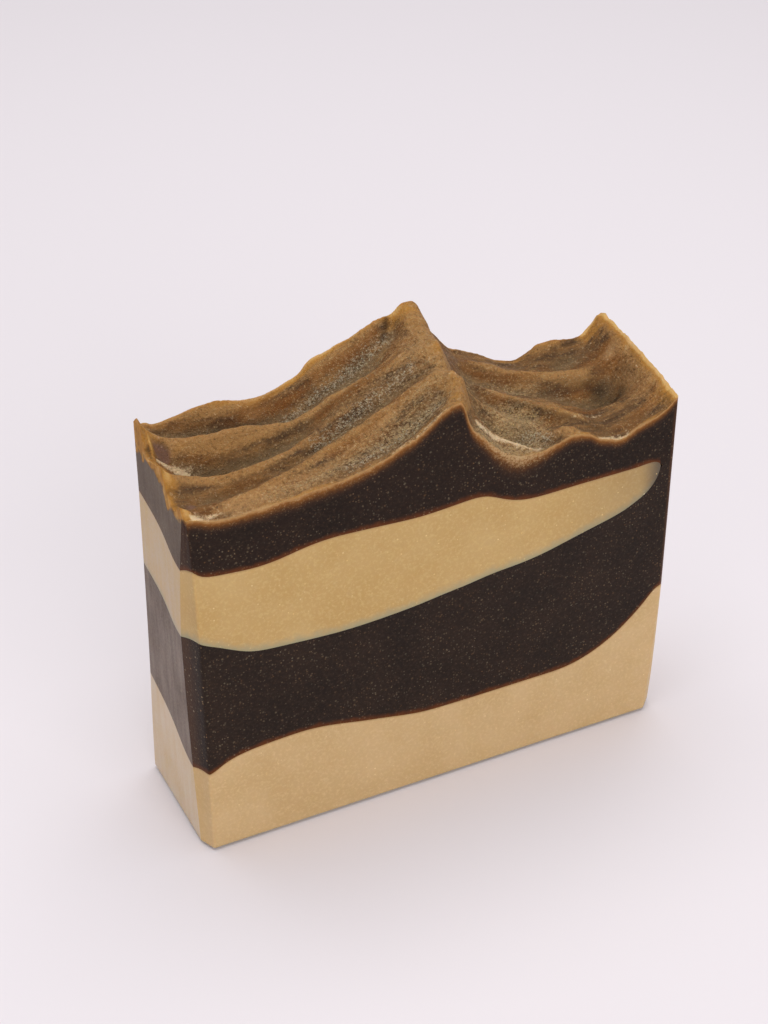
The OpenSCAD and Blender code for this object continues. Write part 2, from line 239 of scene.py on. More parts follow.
@dataclass(frozen=True)
class Patch:
    """A soft round patch on the crust's plan, in millimetres: colour, grains, or a raised or sunken spot."""

    x: float
    y: float
    reach_x: float
    reach_y: float
    strength: float = 1.0

    def cover(self, places: np.ndarray) -> np.ndarray:
        """Gives the patch's cover at places on the plan.

        Args:
            places: Plan places in millimetres, one row each.

        Returns:
            The cover, from 0 to the patch's strength.
        """
        off = ((places[:, 0] - self.x) / self.reach_x) ** 2 + ((places[:, 1] - self.y) / self.reach_y) ** 2
        return self.strength * np.exp(-off)


@dataclass(frozen=True)
class Vein:
    """A soft line drawn over the crust from point to point, in millimetres on the plan."""

    points: tuple[tuple[float, float], ...]
    width: float
    strength: float = 1.0

    def cover(self, places: np.ndarray) -> np.ndarray:
        """Gives the line's cover at places on the plan.

        Args:
            places: Plan places in millimetres, one row each.

        Returns:
            The cover, from 0 to the line's strength.
        """
        nearest = np.full(len(places), np.inf)
        for start, end in zip(self.points, self.points[1:]):
            run = np.subtract(end, start)
            off = places[:, :2] - start
            share = np.clip(off @ run / (run @ run), 0, 1)
            nearest = np.minimum(nearest, np.linalg.norm(off - share[:, None] * run, axis=1))
        return self.strength * np.exp(-(nearest / self.width) ** 2)


Marks = tuple[Patch | Vein, ...]
Layer = tuple[str, Socket, Socket, float, float, float, float]


@dataclass(frozen=True)
class Scratch:
    """A fine straight scratch on the front face, in millimetres and degrees."""

    x: float
    z: float
    length: float
    angle: float
    width: float = 0.22


@dataclass(frozen=True)
class SoapFinish:
    """Cold-process soap: saponified oils, waxy and a little translucent, satin where a wire cut it.

    The eye reads it by its soft edges, by the fine pale specks of undissolved grains,
    and by the pale film on the faces that touched the mould, partly the mould's dull film and partly painted
    sheen.
    """

    name: str
    body: str
    body_light: str
    body_dark: str
    specks: tuple[str, str]
    foot_line: str
    foot_line_mm: float
    head_line: str
    head_line_mm: float
    # Painted light: a lighter, warmer tint beside the upright corners, stronger on the right.
    corner: str
    corner_light_cover: float
    # Pale film on the mould walls: partly the mould's dull film, partly painted sheen.
    mould_film_and_sheen: str
    mould_cover: float
    speck_gap_mm: float
    speck_mm: float
    speck_rarity: float
    roughness: float
    gloss: float
    scatter_weight: float
    scatter_mm: tuple[float, float, float]
    corner_mm: float = 1.1
    film_roughness: float = 0.72
    bump_mm: float = 0.12
    tip: str = ""
    tip_from_mm: float = 0.0
    tip_to_mm: float = 0.0
    tip_dark_mm: float = 4.6
    scratches: tuple[Scratch, ...] = ()
    crust: bool = False


@dataclass(frozen=True)
class CrustFinish:
    """The dried skin of a dark pour: caramel where it is thin, grey-olive and sparkling where salts gather.

    The eye reads it by the honey colour of its thin ridges, by the bright grains
    in its hollows and by pale ash where the air reached it first.
    """

    skin: str = "#8c663d"
    skin_dark: str = "#58402a"
    stain: str = "#7c4b1d"
    ridge: str = "#a67b49"
    tan: str = "#b88d5b"
    honey: str = "#b47f39"
    # Painted highlight: the pale gold on the brightest rims, around the left pit and on pale runs of the drip.
    painted_highlight: str = "#dab06c"
    # Painted highlight: a pale line along the very edge of the crust.
    edge_highlight: str = "#d9b27e"
    hollow: str = "#7c6649"
    grit: str = "#b89c72"
    pit: str = "#33281c"
    # Painted shade: dark brown laid where shadow falls, in hollows, creases, a pit and under a knob.
    painted_shade: str = "#2f2014"
    sparkle: str = "#bdb095"
    gold: str = "#c3a06a"
    ash: str = "#dec29a"
    # Painted shade inside the pits: a darker grey-brown laid into the left pit and a small pit nearer the
    # front.
    pit_shade: str = "#7b5b4b"
    drip: str = "#b07a31"
    drip_dark: str = "#5c4120"
    edge: str = "#aa804f"
    edge_amber: str = "#7d4e20"
    edge_brown: str = "#573517"
    edge_deep: str = "#332015"
    edge_mm: float = 2.15
    bump_mm: float = 0.4
    roughness: float = 0.55
    drawn_degrees: float = -6.0


CRUST_FINISH = CrustFinish()

# Soap of pale oils: light goes in and comes out again, so its specks are soft; the warm light at its corners is
# painted.
CREAM_FINISH = SoapFinish(
    name="cream_cold_process_soap",
    body="#c9a97a", body_light="#d4b787", body_dark="#c1a06e", specks=("#e8d2a2", "#d9b97c"),
    foot_line="#b09a72", foot_line_mm=0.5, head_line="#b08a58", head_line_mm=0.5,
    corner="#d0a862", corner_light_cover=0.6,
    mould_film_and_sheen="#d6c6b4", mould_cover=0.66,
    speck_gap_mm=0.75, speck_mm=0.38, speck_rarity=2.2, roughness=0.5, gloss=0.4,
    scatter_weight=0.35, scatter_mm=(1.6, 0.9, 0.4),
)

# The same soap between two dark pours: yellower, and grey where it is thin enough for the dark to show through.
WEDGE_FINISH = replace(
    CREAM_FINISH,
    name="wedge_cold_process_soap",
    body="#c09f67", body_light="#cbad74", body_dark="#b9965b", specks=("#e8d2a0", "#d6b574"),
    foot_line="#a39673", foot_line_mm=2.3, mould_film_and_sheen="#c9b6a0", mould_cover=0.62,
    tip="#584c3e", tip_from_mm=18.0, tip_to_mm=42.1,
)

# Soap with something dark in it, such as cocoa: little light comes back, so specks and edges stand out.
DARK_FINISH = SoapFinish(
    name="dark_cold_process_soap",
    body="#291d16", body_light="#382a20", body_dark="#1f1611", specks=("#9a8e75", "#896138"),
    foot_line="#5f3112", foot_line_mm=1.4, head_line="#241a15", head_line_mm=0.3,
    corner="#5a3820", corner_light_cover=0.8,
    mould_film_and_sheen="#93867d", mould_cover=0.7,
    speck_gap_mm=0.5, speck_mm=0.41, speck_rarity=5.2, roughness=0.52, gloss=0.13,
    scatter_weight=0.12, scatter_mm=(1.2, 0.4, 0.15),
)

# The same dark soap under its dried crust.
TOP_FINISH = replace(
    DARK_FINISH,
    name="dark_cold_process_soap_with_crust",
    body="#251811", body_light="#34261b", body_dark="#1c120c",
    corner="#54341f", corner_light_cover=0.75, mould_film_and_sheen="#7d7064", mould_cover=0.64,
    scratches=(Scratch(0.9, 70.7, 3.2, 36), Scratch(35.8, 55.5, 4.0, 96, 0.3)),
    crust=True,
)


@dataclass
class Painter:
    """Draws one material's nodes, with patterns that follow the place on the bar."""

    tree: Tree
    place: Socket

    def add(self, kind: str, inputs: dict[int | str, object] | None = None, **settings: object) -> Outputs:
        """Adds a node to the material, as add does."""
        return add(self.tree, kind, inputs, **settings)

    def field(self, name: str) -> Socket:
        """Reads one of the pour's own maps."""
        return self.add("Attribute", attribute_name=name)["Fac"]

    def layered(self, colour: Socket, layers: tuple[Layer, ...]) -> Socket:
        """Lays tints over the colour, one after the other.

        Args:
            colour: The colour under them.
            layers: For each its tint, the map it follows, the pattern that breaks that map up about the
                pattern's middle and by how much, the values from and up to which it fades in, and its cover.

        Returns:
            The colour with all of them.
        """
        for tint, amount, pattern, swing, low, high, cover in layers:
            offset = self.add("Math.SUBTRACT", {0: amount, 1: 0.5 * swing})[0]
            broken = self.add("Math.MULTIPLY_ADD", {0: pattern, 1: swing, 2: offset})[0]
            share = self.add("MapRange", {0: broken, 1: low, 2: high, 4: cover})[0]
            colour = self.add("Mix.RGBA", {0: share, 6: colour, 7: linear(tint)})[2]
        return colour


@dataclass
class CrustPainter(Painter):
    """Draws the crust: its skin, its amber edge on the cut faces and its drips on the mould walls."""

    look: CrustFinish

    def colour_and_height(self) -> tuple[Socket, Socket]:
        """Colours the crust by its ridges, hollows, rims, grains and ash, and lays painted shade and painted
        highlights on it.

        Returns:
            The crust's colour, and heights for its bump.
        """
        look = self.look
        names = ("ridge", "hollow", "ash", "grainy", "honey", "painted_shade", "tan", "salty", "rust", "pit_shade")
        ridge, hollow, ash, grainy, honey, painted_shade, tan, salty, rust, pit_shade = (self.field(name) for name in names)
        turn = (0, 0, math.radians(look.drawn_degrees))
        drawn, strewn = (
            self.add("Mapping", {"Vector": self.place, "Rotation": turn, "Scale": scale})[0]
            for scale in ((0.2, 1, 0.5), (0.5, 1, 0.6))
        )
        # Real salt and fibres are about 0.1 mm across: they are drawn as coarse as they need to be to show.
        streaks, clouds, granules, salt, fibres = (
            self.add("TexNoise", {
                "Vector": at, "Scale": per_mm(size), "Detail": detail, "Roughness": rough,
            })["Fac"]
            for at, size, detail, rough in (
                (drawn, 1.6, 6.0, 0.66), (drawn, 4, 3.0, 0.5), (self.place, 0.6, 5.0, 0.75),
                (self.place, 0.48, 5.0, 0.85), (strewn, 0.32, 4.0, 0.7),
            )
        )
        tone = self.add("MapRange", {0: streaks, 1: 0.4, 2: 0.63})[0]
        colour = self.add("Mix.RGBA", {0: tone, 6: linear(look.skin_dark), 7: linear(look.skin)})[2]
        colour = self.layered(colour, (
            (look.stain, clouds, clouds, 0.0, 0.48, 0.66, 0.75),
            (look.ridge, ridge, granules, 2.0, 0.25, 1.0, 0.9),
            (look.pit, granules, granules, 0.0, 0.46, 0.3, 0.5),
            (look.tan, tan, granules, 2.0, 0.2, 1.1, 0.8),
            (look.stain, rust, fibres, 3.0, 0.2, 1.2, 0.8),
            (look.hollow, hollow, granules, 1.6, 0.2, 1.0, 0.7),
            (look.grit, grainy, fibres, 4.0, 0.65, 1.5, 0.7),
            (look.pit, grainy, fibres, -4.0, 1.0, 1.8, 0.42),
            (look.sparkle, salty, salt, 7.5, 0.95, 1.8, 0.75),
            (look.pit, salty, salt, -7.0, 1.0, 2.0, 0.6),
        ))
        spread = self.add("Math.MAXIMUM", {0: salty, 1: grainy})[0]
        spread = self.add("MapRange", {0: spread, 3: 0.25, 4: 1.0})[0]
        pale, body = self._grains(size_mm=0.36, rarity=0.6)
        pale = self.add("Math.MULTIPLY", {0: pale, 1: spread})[0]
        tint = self.add("Mix.RGBA", {0: salty, 6: linear(look.gold), 7: linear(look.sparkle)})[2]
        colour = self.add("Mix.RGBA", {0: pale, 6: colour, 7: tint})[2]
        # The narrow band along the very edge is painted highlight, stronger where there is ash.
        rim, rim_highlight = self._rims()
        rim = self.add("Math.MAXIMUM", {0: rim, 1: honey})[0]
        rim_highlight = self.add("Math.MULTIPLY_ADD", {0: rim_highlight, 1: ash, 2: rim_highlight})[0]
        colour = self.layered(colour, (
            (look.honey, rim, streaks, 2.2, 0.25, 1.1, 0.85),
            # painted highlight where the honey marks pile up past 1.15
            (look.painted_highlight, honey, streaks, 1.2, 1.15, 1.8, 0.85),
            # painted highlight along the very edge
            (look.edge_highlight, rim_highlight, clouds, 5.0, 0.6, 1.9, 0.6),
            # painted shade in hollows and creases
            (look.painted_shade, painted_shade, granules, 1.2, 0.1, 1.0, 0.85),
            # painted shade inside the pits
            (look.pit_shade, pit_shade, granules, 0.8, 0.2, 0.9, 0.9),
            (look.ash, ash, granules, 3.4, 0.3, 1.1, 0.95),
        ))
        rough = self.add("Math.MULTIPLY", {0: spread, 1: body})[0]
        height = self.add("Math.MULTIPLY_ADD", {0: granules, 1: 1.1, 2: streaks})[0]
        return colour, self.add("Math.MULTIPLY_ADD", {0: rough, 1: 0.5, 2: height})[0]

    def amber_edge(self) -> tuple[Socket, Socket]:
        """Draws the edge where the cut face meets the crust: honey, then amber, then deep brown.

        Returns:
            The edge's colour and its cover.
        """
        look = self.look
        depth, broad = self.field("under_top"), self.field("broad")
        width = self.add("MapRange", {0: broad, 3: look.edge_mm, 4: 2.4 * look.edge_mm})[0]
        quick = self.add("TexNoise", {"Vector": self.place, "Scale": per_mm(0.9), "Detail": 4.0})["Fac"]
        share = self.add("Math.DIVIDE", {0: depth, 1: width})[0]
        share = self.add("Math.MULTIPLY_ADD", {0: quick, 1: 0.3, 2: share})[0]
        share = self.add("Math.SUBTRACT", {0: share, 1: 0.15})[0]
        ramp = self.add("ValToRGB", {0: share})
        stops = ramp[0].node.color_ramp.elements
        stops[0].position, stops[0].color = 0.04, linear(look.edge)
        stops[1].position, stops[1].color = 1.0, (*linear(look.edge_deep)[:3], 0.0)
        for at, tint, cover in (
            (0.22, look.edge_amber, 1.0), (0.45, look.edge_brown, 0.95), (0.72, look.edge_deep, 0.75),
        ):
            stops.new(at).color = (*linear(tint)[:3], cover)
        high = self.add("MapRange", {0: share, 1: 0.1, 2: 0.6, 3: 1.2, 4: 0.0})[0]
        high = self.add("Math.MULTIPLY", {0: high, 1: broad})[0]
        texture = {"Vector": self.place, "Scale": per_mm(0.36), "Detail": 4.0, "Roughness": 0.75}
        fine = self.add("TexNoise", texture)["Fac"]
        colour = self.layered(ramp["Color"], (
            (look.grit, high, fine, 4.0, 0.3, 1.5, 0.85),
            (look.edge_brown, high, fine, -6.0, 1.1, 2.2, 0.8),
        ))
        return colour, ramp["Alpha"]

    def drip_colour(self, mould: Socket) -> tuple[Socket, Socket]:
        """Hangs the honey crust over the top of a mould wall and its corners, darker along its lower edge.

        Args:
            mould: 1 on the mould walls and 0 elsewhere.

        Returns:
            The drip's colour, and 1 on it and 0 below it.
        """
        look = self.look
        depth, hung = self.field("under_top"), self.field("drip")
        uneven = self.add("TexNoise", {"Vector": self.place, "Scale": per_mm(1.8), "Detail": 3.0})["Fac"]
        reach = self.add("MapRange", {0: uneven, 1: 0.3, 2: 0.7, 3: 0.1, 4: 1.3})[0]
        reach = self.add("Math.MULTIPLY_ADD", {0: reach, 1: mould, 2: hung})[0]
        left = self.add("Math.SUBTRACT", {0: reach, 1: depth})[0]
        notch = self.add("TexNoise", {"Vector": self.place, "Scale": per_mm(1.1), "Detail": 3.0})["Fac"]
        notch = self.add("Math.MULTIPLY_ADD", {0: notch, 1: 5.0, 2: left})[0]
        dark = self.add("MapRange", {0: notch, 1: 2.3, 2: 3.4, 3: 0.85, 4: 0.0})[0]
        colour = self.add("Mix.RGBA", {0: dark, 6: linear(look.drip), 7: linear(look.drip_dark)})[2]
        long = self.add("Mapping", {"Vector": self.place, "Scale": (1.0, 1.0, 0.35)})[0]
        runs = self.add("TexNoise", {
            "Vector": long, "Scale": per_mm(0.9), "Detail": 4.0, "Roughness": 0.65,
        })["Fac"]
        colour = self.layered(colour, (
            # painted highlight on the pale runs
            (look.painted_highlight, runs, runs, 0.0, 0.5, 0.68, 0.6),
            (look.drip_dark, runs, runs, 0.0, 0.45, 0.32, 0.6),
        ))
        return colour, self.add("MapRange", {0: left, 2: 0.5, 4: 0.92})[0]

    def _rims(self) -> tuple[Socket, Socket]:
        """Finds the thin rims of the crust, broad at the mould walls and narrow at the cut faces.

        Returns:
            The broad honey rim, and the narrow band of painted highlight along the very edge, 1 at the edge and
            0 away from it.
        """
        axes = self.add("SeparateXYZ", {0: self.place})
        rims, rim_highlights = [], []
        for axis, reach, cover in ((0, 1.6, 1.0), (1, 1.0, 0.5)):
            off = self.add("Math.ABSOLUTE", {0: axes[axis]})[0]
            edge = CAD_BOX[1][axis]
            broad = {0: off, 1: edge - reach * MM, 2: edge - 0.1 * MM, 4: cover}
            rims.append(self.add("MapRange.SMOOTHSTEP", broad)[0])
            rim_highlights.append(self.add("MapRange", {0: off, 1: edge - 0.6 * MM, 2: edge - 0.15 * MM})[0])
        rim, rim_highlight = (
            self.add("Math.MAXIMUM", {0: first, 1: second})[0] for first, second in (rims, rim_highlights)
        )
        return rim, rim_highlight

    def _grains(self, size_mm: float, rarity: float) -> tuple[Socket, Socket]:
        """Scatters grains over the crust.

        Args:
            size_mm: Width of a grain's cell.
            rarity: Share of the cells without a grain.

        Returns:
            1 on a grain and 0 beside it, and the roundness of every cell.
        """
        cells = self.add("TexVoronoi", {"Vector": self.place, "Scale": per_mm(size_mm)})
        chance = self.add("SeparateColor", {0: cells["Color"]})[0]
        lit = self.add("MapRange", {0: chance, 1: rarity, 2: 1.0})[0]
        body = self.add("MapRange", {0: cells["Distance"], 1: 0.55, 2: 0.2})[0]
        return self.add("Math.MULTIPLY", {0: lit, 1: body})[0], body


@dataclass
class SoapPainter(Painter):
    """Draws a pour: its cut faces, its mould walls and, on the last pour, the crust."""

    look: SoapFinish

    def paint(self) -> None:
        """Paints all faces of a pour, from the pour's face and depth attributes."""
        look = self.look
        colour, film = self._mould_colour(self._cut_colour())
        height = self._cut_height(film)
        normal = self.add("Bump", {"Strength": 0.5, "Distance": look.bump_mm * MM, "Height": height})[0]
        roughness = self.add("Mix.FLOAT", {0: film, 2: look.roughness, 3: look.film_roughness})[0]
        if look.crust:
            colour, roughness, normal = self._crust(colour, roughness, normal)
        shader = self.add("BsdfPrincipled", {
            "Base Color": colour,
            "Roughness": roughness,
            "Normal": normal,
            "IOR": 1.46,
            "Specular IOR Level": look.gloss,
            "Subsurface Weight": look.scatter_weight,
            "Subsurface Radius": look.scatter_mm,
            "Subsurface Scale": MM,
        })[0]
        self.add("OutputMaterial", {"Surface": shader})

    def _is(self, surface: Surface) -> Socket:
        """Gives 1 on the faces of one kind and 0 on the others."""
        kind = self.field("surface")
        return self.add("Math.COMPARE", {0: kind, 1: surface.value, 2: 0.25})[0]

    def _cut_colour(self) -> Socket:
        """Mottles the pour, draws its thin edge lines and scatters the specks.

        Returns:
            The colour of the cut face.
        """
        look = self.look
        wide = self.add("TexNoise", {"Vector": self.place, "Scale": per_mm(9), "Detail": 4.0})["Fac"]
        tone = self.add("MapRange", {0: wide, 1: 0.35, 2: 0.68})[0]
        colour = self.add("Mix.RGBA", {0: tone, 6: linear(look.body_dark), 7: linear(look.body)})[2]
        texture = {"Vector": self.place, "Scale": per_mm(0.6), "Detail": 4.0, "Roughness": 0.65}
        fine = self.add("TexNoise", texture)["Fac"]
        grain = self.add("MapRange", {0: fine, 1: 0.48, 2: 0.7, 4: 0.7})[0]
        colour = self.add("Mix.RGBA", {0: grain, 6: colour, 7: linear(look.body_light)})[2]
        # painted light beside the upright corners
        colour = self._painted_corner_light(colour)
        colour = self._edge_lines(colour)
        if look.tip:
            colour = self._tip(colour)
        for scratch in look.scratches:
            line = self._scratch(scratch)
            colour = self.add("Mix.RGBA", {0: line, 6: colour, 7: linear(look.body_light)})[2]
        # The real specks are 0.1 to 0.3 mm wide: they are drawn as coarse as they need to be to show.
        gap, size, rarity = look.speck_gap_mm, look.speck_mm, look.speck_rarity
        small, hue = self._specks(gap, size, rarity)
        large, _ = self._specks(2.2 * gap, 1.35 * size, 0.55 * rarity)
        share = self.add("MapRange", {0: wide, 1: 0.36, 2: 0.6, 3: 0.5, 4: 1.0})[0]
        small = self.add("Math.MULTIPLY", {0: small, 1: share})[0]
        shown = self.add("Math.MAXIMUM", {0: small, 1: large})[0]
        tint = self.add("Mix.RGBA", {0: hue, 6: linear(look.specks[0]), 7: linear(look.specks[1])})[2]
        return self.add("Mix.RGBA", {0: shown, 6: colour, 7: tint})[2]

    def _edge_lines(self, colour: Socket) -> Socket:
        """Draws the thin uneven lines where the pour meets the one below it and the one above it.

        Args:
            colour: The colour so far.

        Returns:
            The colour with both lines.
        """
        look = self.look
        wobble = self.add("TexNoise", {"Vector": self.place, "Scale": per_mm(1.8), "Detail": 3.0})["Fac"]
        for attribute, tint, width in (
            ("over_seam", look.foot_line, look.foot_line_mm),
            ("under_top", look.head_line, look.head_line_mm),
        ):
            depth = self.field(attribute)
            swing = self.add("Math.MULTIPLY_ADD", {0: wobble, 1: -width, 2: 0.62 * width})[0]
            depth = self.add("Math.ADD", {0: depth, 1: swing})[0]
            line = self.add("MapRange.SMOOTHSTEP", {0: depth, 2: width, 3: 1.0, 4: 0.0})[0]
            colour = self.add("Mix.RGBA", {0: line, 6: colour, 7: linear(tint)})[2]
        return colour

    def _tip(self, colour: Socket) -> Socket:
        """Lets the dark soap show through where the pour runs out towards its tip.

        Args:
            colour: The colour so far.

        Returns:
            The colour, greyer all the way along the last stretch and dark at the tip.
        """
        look = self.look
        across = self.add("SeparateXYZ", {0: self.place})[0]
        end = look.tip_to_mm * MM
        for start, cover in ((look.tip_from_mm * MM, 0.3), (end - look.tip_dark_mm * MM, 0.95)):
            share = self.add("MapRange.SMOOTHSTEP", {0: across, 1: start, 2: end, 4: cover})[0]
            colour = self.add("Mix.RGBA", {0: share, 6: colour, 7: linear(look.tip)})[2]
        return colour

    def _painted_corner_light(self, colour: Socket) -> Socket:
        """Paints a warm light into the soap beside the upright corners, for light that comes through it there,
        most on the right.

        Args:
            colour: The colour so far.

        Returns:
            The colour with the painted corner light.
        """
        look = self.look
        across = self.add("SeparateXYZ", {0: self.place})[0]
        off = self.add("Math.ABSOLUTE", {0: across})[0]
        edge = CAD_BOX[1][0]
        start, end = edge - look.corner_mm * MM, edge - 0.1 * MM
        side = self.add("MapRange", {0: across, 1: -0.1 * edge, 2: 0.1 * edge, 3: 0.5, 4: 1.0})[0]
        side = self.add("Math.MULTIPLY", {0: side, 1: look.corner_light_cover})[0]
        near = self.add("MapRange.SMOOTHSTEP", {0: off, 1: start, 2: end})[0]
        near = self.add("Math.MULTIPLY", {0: near, 1: side})[0]
        return self.add("Mix.RGBA", {0: near, 6: colour, 7: linear(look.corner)})[2]

    def _scratch(self, scratch: Scratch) -> Socket:
        """Draws one faint scratch on the front face.

        Args:
            scratch: Its place and size.

        Returns:
            How strongly the scratch shows.
        """
        along = self.add("Mapping.TEXTURE", {
            "Vector": self.place,
            "Location": (scratch.x * MM, CAD_BOX[0][1], scratch.z * MM),
            "Rotation": (0, math.radians(-scratch.angle), 0),
            "Scale": (scratch.length / 2 * MM, 0.5 * MM, scratch.width / 2 * MM),
        })[0]
        reach = self.add("VectorMath.LENGTH", {0: along})["Value"]
        return self.add("MapRange", {0: reach, 1: 0.5, 2: 1.0, 3: 0.5, 4: 0.0})[0]

    def _specks(self, gap_mm: float, size_mm: float, rarity: float) -> tuple[Socket, Socket]:
        """Scatters specks of uneven size and strength.

        Args:
            gap_mm: Mean distance between specks.
            size_mm: Width of the largest specks.
            rarity: How few of them are bright, 1 for an even spread.

        Returns:
            1 on a bright speck and 0 between the specks, and a random number for each speck.
        """
        cells = self.add("TexVoronoi", {"Vector": self.place, "Scale": per_mm(gap_mm)})
        chance = self.add("SeparateColor", {0: cells["Color"]})
        largest = size_mm / gap_mm / 2
        size = self.add("MapRange", {0: chance[0], 3: 0.3 * largest, 4: largest})[0]
        inside = self.add("Math.SUBTRACT", {0: size, 1: cells["Distance"]})[0]
        edge = self.add("MapRange", {0: inside, 2: 0.1})[0]
        rare = self.add("Math.POWER", {0: chance[1], 1: rarity})[0]
        strength = self.add("MapRange", {0: rare, 3: 0.1, 4: 1.0})[0]
        return self.add("Math.MULTIPLY", {0: edge, 1: strength})[0], chance[2]

    def _mould_colour(self, colour: Socket) -> tuple[Socket, Socket]:
        """Lays a pale, streaky film over the faces that touched the mould: partly the mould's dull film, partly
        painted sheen.

        Args:
            colour: The colour under the film.

        Returns:
            The colour, and the film's cover.
        """
        look = self.look
        tilt = (math.radians(7), 0, 0)
        drawn = self.add("Mapping", {"Vector": self.place, "Rotation": tilt, "Scale": (1.0, 1.0, 0.1)})[0]
        streaks, clouds, dust = (
            self.add("TexNoise", {
                "Vector": at, "Scale": per_mm(size), "Detail": detail, "Roughness": rough,
            })["Fac"]
            for at, size, detail, rough in (
                (drawn, 1.3, 5.0, 0.62), (self.place, 7, 3.0, 0.5), (self.place, 0.5, 4.0, 0.75),
            )
        )
        thin, thick = look.mould_cover - 0.3, look.mould_cover + 0.26
        uneven = self.add("Math.ADD", {0: streaks, 1: clouds})[0]
        cover = self.add("MapRange", {0: uneven, 1: 0.7, 2: 1.3, 3: thin, 4: thick})[0]
        dust = self.add("MapRange", {0: dust, 1: 0.35, 2: 0.65, 3: -0.14, 4: 0.14})[0]
        cover = self.add("Math.ADD", {0: cover, 1: dust})[0]
        film = self.add("Math.MULTIPLY", {0: cover, 1: self._is(Surface.MOULD)})[0]
        # The pale film is partly the mould's own film and partly painted sheen.
        return self.add("Mix.RGBA", {0: film, 6: colour, 7: linear(look.mould_film_and_sheen)})[2], film

    def _cut_height(self, film: Socket) -> Socket:
        """Roughens the cut face with fine grain, and the mould face with pores.

        Args:
            film: The film's cover.

        Returns:
            Heights for the bump.
        """
        grain = self.add("TexNoise", {"Vector": self.place, "Scale": per_mm(0.45), "Detail": 3.0})["Fac"]
        swell = self.add("TexNoise", {"Vector": self.place, "Scale": per_mm(5), "Detail": 2.0})["Fac"]
        pores, _ = self._specks(gap_mm=1.9, size_mm=0.8, rarity=2.0)
        pores = self.add("Math.MULTIPLY", {0: pores, 1: film})[0]
        height = self.add("Math.MULTIPLY_ADD", {0: swell, 1: 1.6, 2: grain})[0]
        return self.add("Math.MULTIPLY_ADD", {0: pores, 1: -3.0, 2: height})[0]

    def _crust(self, colour: Socket, roughness: Socket, normal: Socket) -> tuple[Socket, Socket, Socket]:
        """Lays the caramel crust over the swirled top, and its amber edge under the rim.

        Args:
            colour: The colour of the cut dark soap.
            roughness: Its roughness.
            normal: Its bumped normal.

        Returns:
            Colour, roughness and normal with the crust laid over them.
        """
        crust = CrustPainter(self.tree, self.place, CRUST_FINISH)
        top = self._is(Surface.CRUST)
        amber, cover = crust.amber_edge()
        shown = self.add("Math.MULTIPLY", {0: cover, 1: self._is(Surface.CUT)})[0]
        colour = self.add("Mix.RGBA", {0: shown, 6: colour, 7: amber})[2]
        honey, cover = crust.drip_colour(self._is(Surface.MOULD))
        colour = self.add("Mix.RGBA", {0: cover, 6: colour, 7: honey})[2]
        skin, height = crust.colour_and_height()
        colour = self.add("Mix.RGBA", {0: top, 6: colour, 7: skin})[2]
        roughness = self.add("Mix.FLOAT", {0: top, 2: roughness, 3: crust.look.roughness})[0]
        depth = crust.look.bump_mm * MM
        normal = self.add("Bump", {"Strength": top, "Distance": depth, "Height": height, "Normal": normal})[0]
        return colour, roughness, normal


